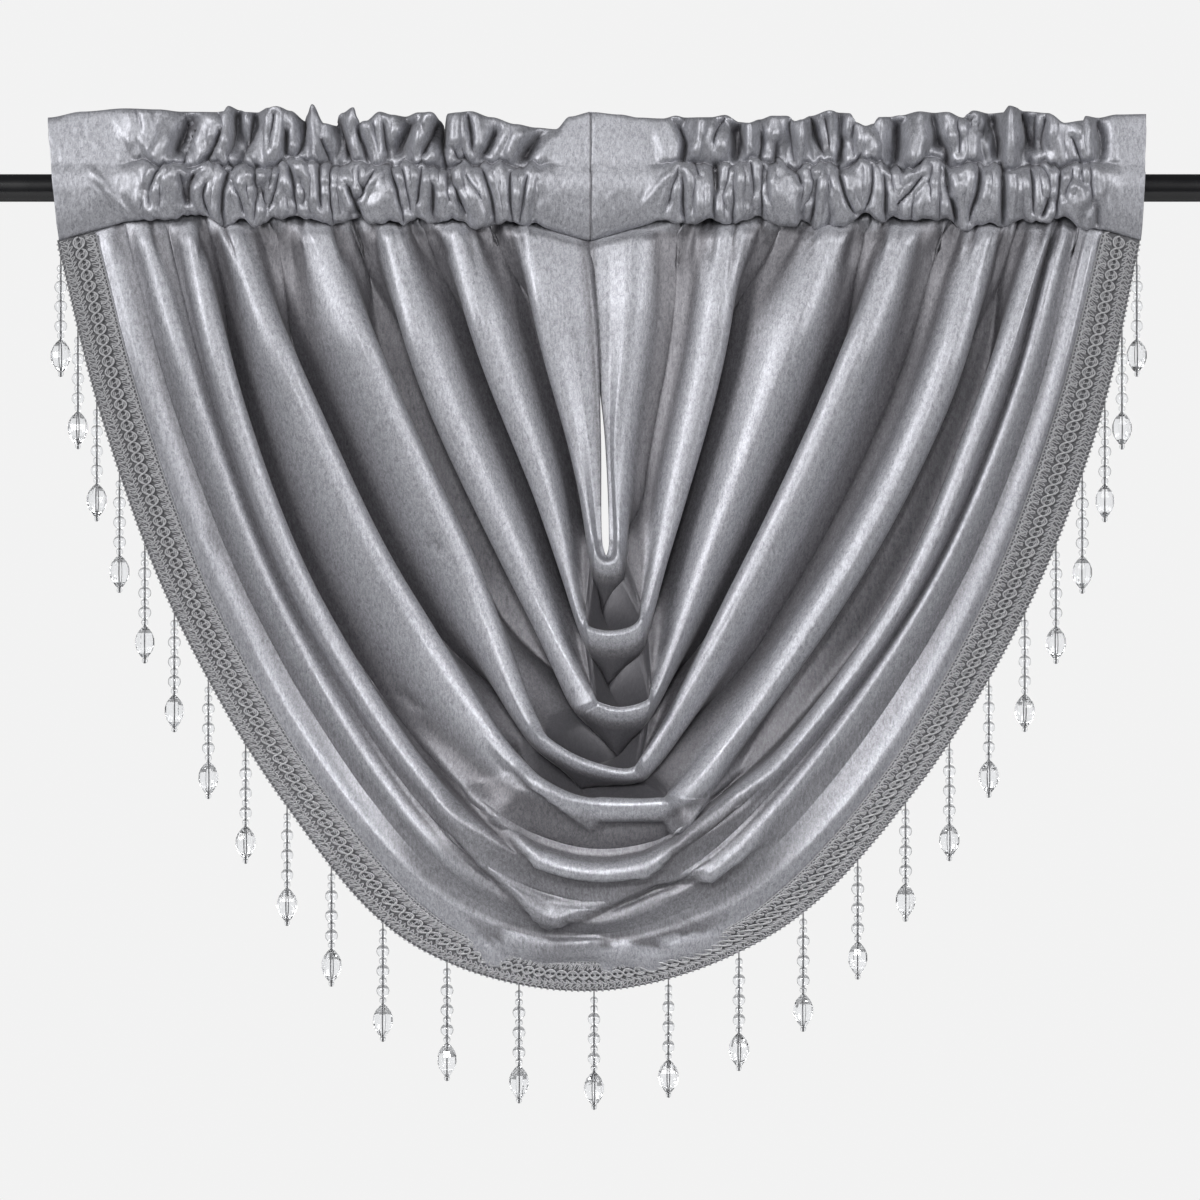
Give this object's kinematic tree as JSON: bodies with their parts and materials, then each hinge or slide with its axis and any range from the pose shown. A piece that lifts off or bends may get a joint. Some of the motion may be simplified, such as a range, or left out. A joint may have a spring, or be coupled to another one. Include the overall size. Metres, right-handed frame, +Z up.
{
  "type": "waterfall valance with curtain rod",
  "caption": "Gathered satin waterfall valance draped in U-shaped folds, with braided trim and bead drops along the hem, hanging on a round black curtain rod.",
  "frame": {"origin": "middle of the rod's axis, half way along it", "axes": "+X along the rod to the viewer's right, -Y towards the room, +Z up"},
  "size_m": [1, 0.0877, 0.7968],
  "materials": {
    "rod": "black, semi-gloss",
    "satin": "silver-grey satin with a soft sheen",
    "trim": "grey knitted braid with a cord chain",
    "beads": "clear acrylic beads of the drops"
  },
  "bodies": {
    "root": {"rod": "rod", "heading_left": "satin", "heading_right": "satin", "swag": "satin", "bead_trim": "trim"}
  },
  "joints": []
}
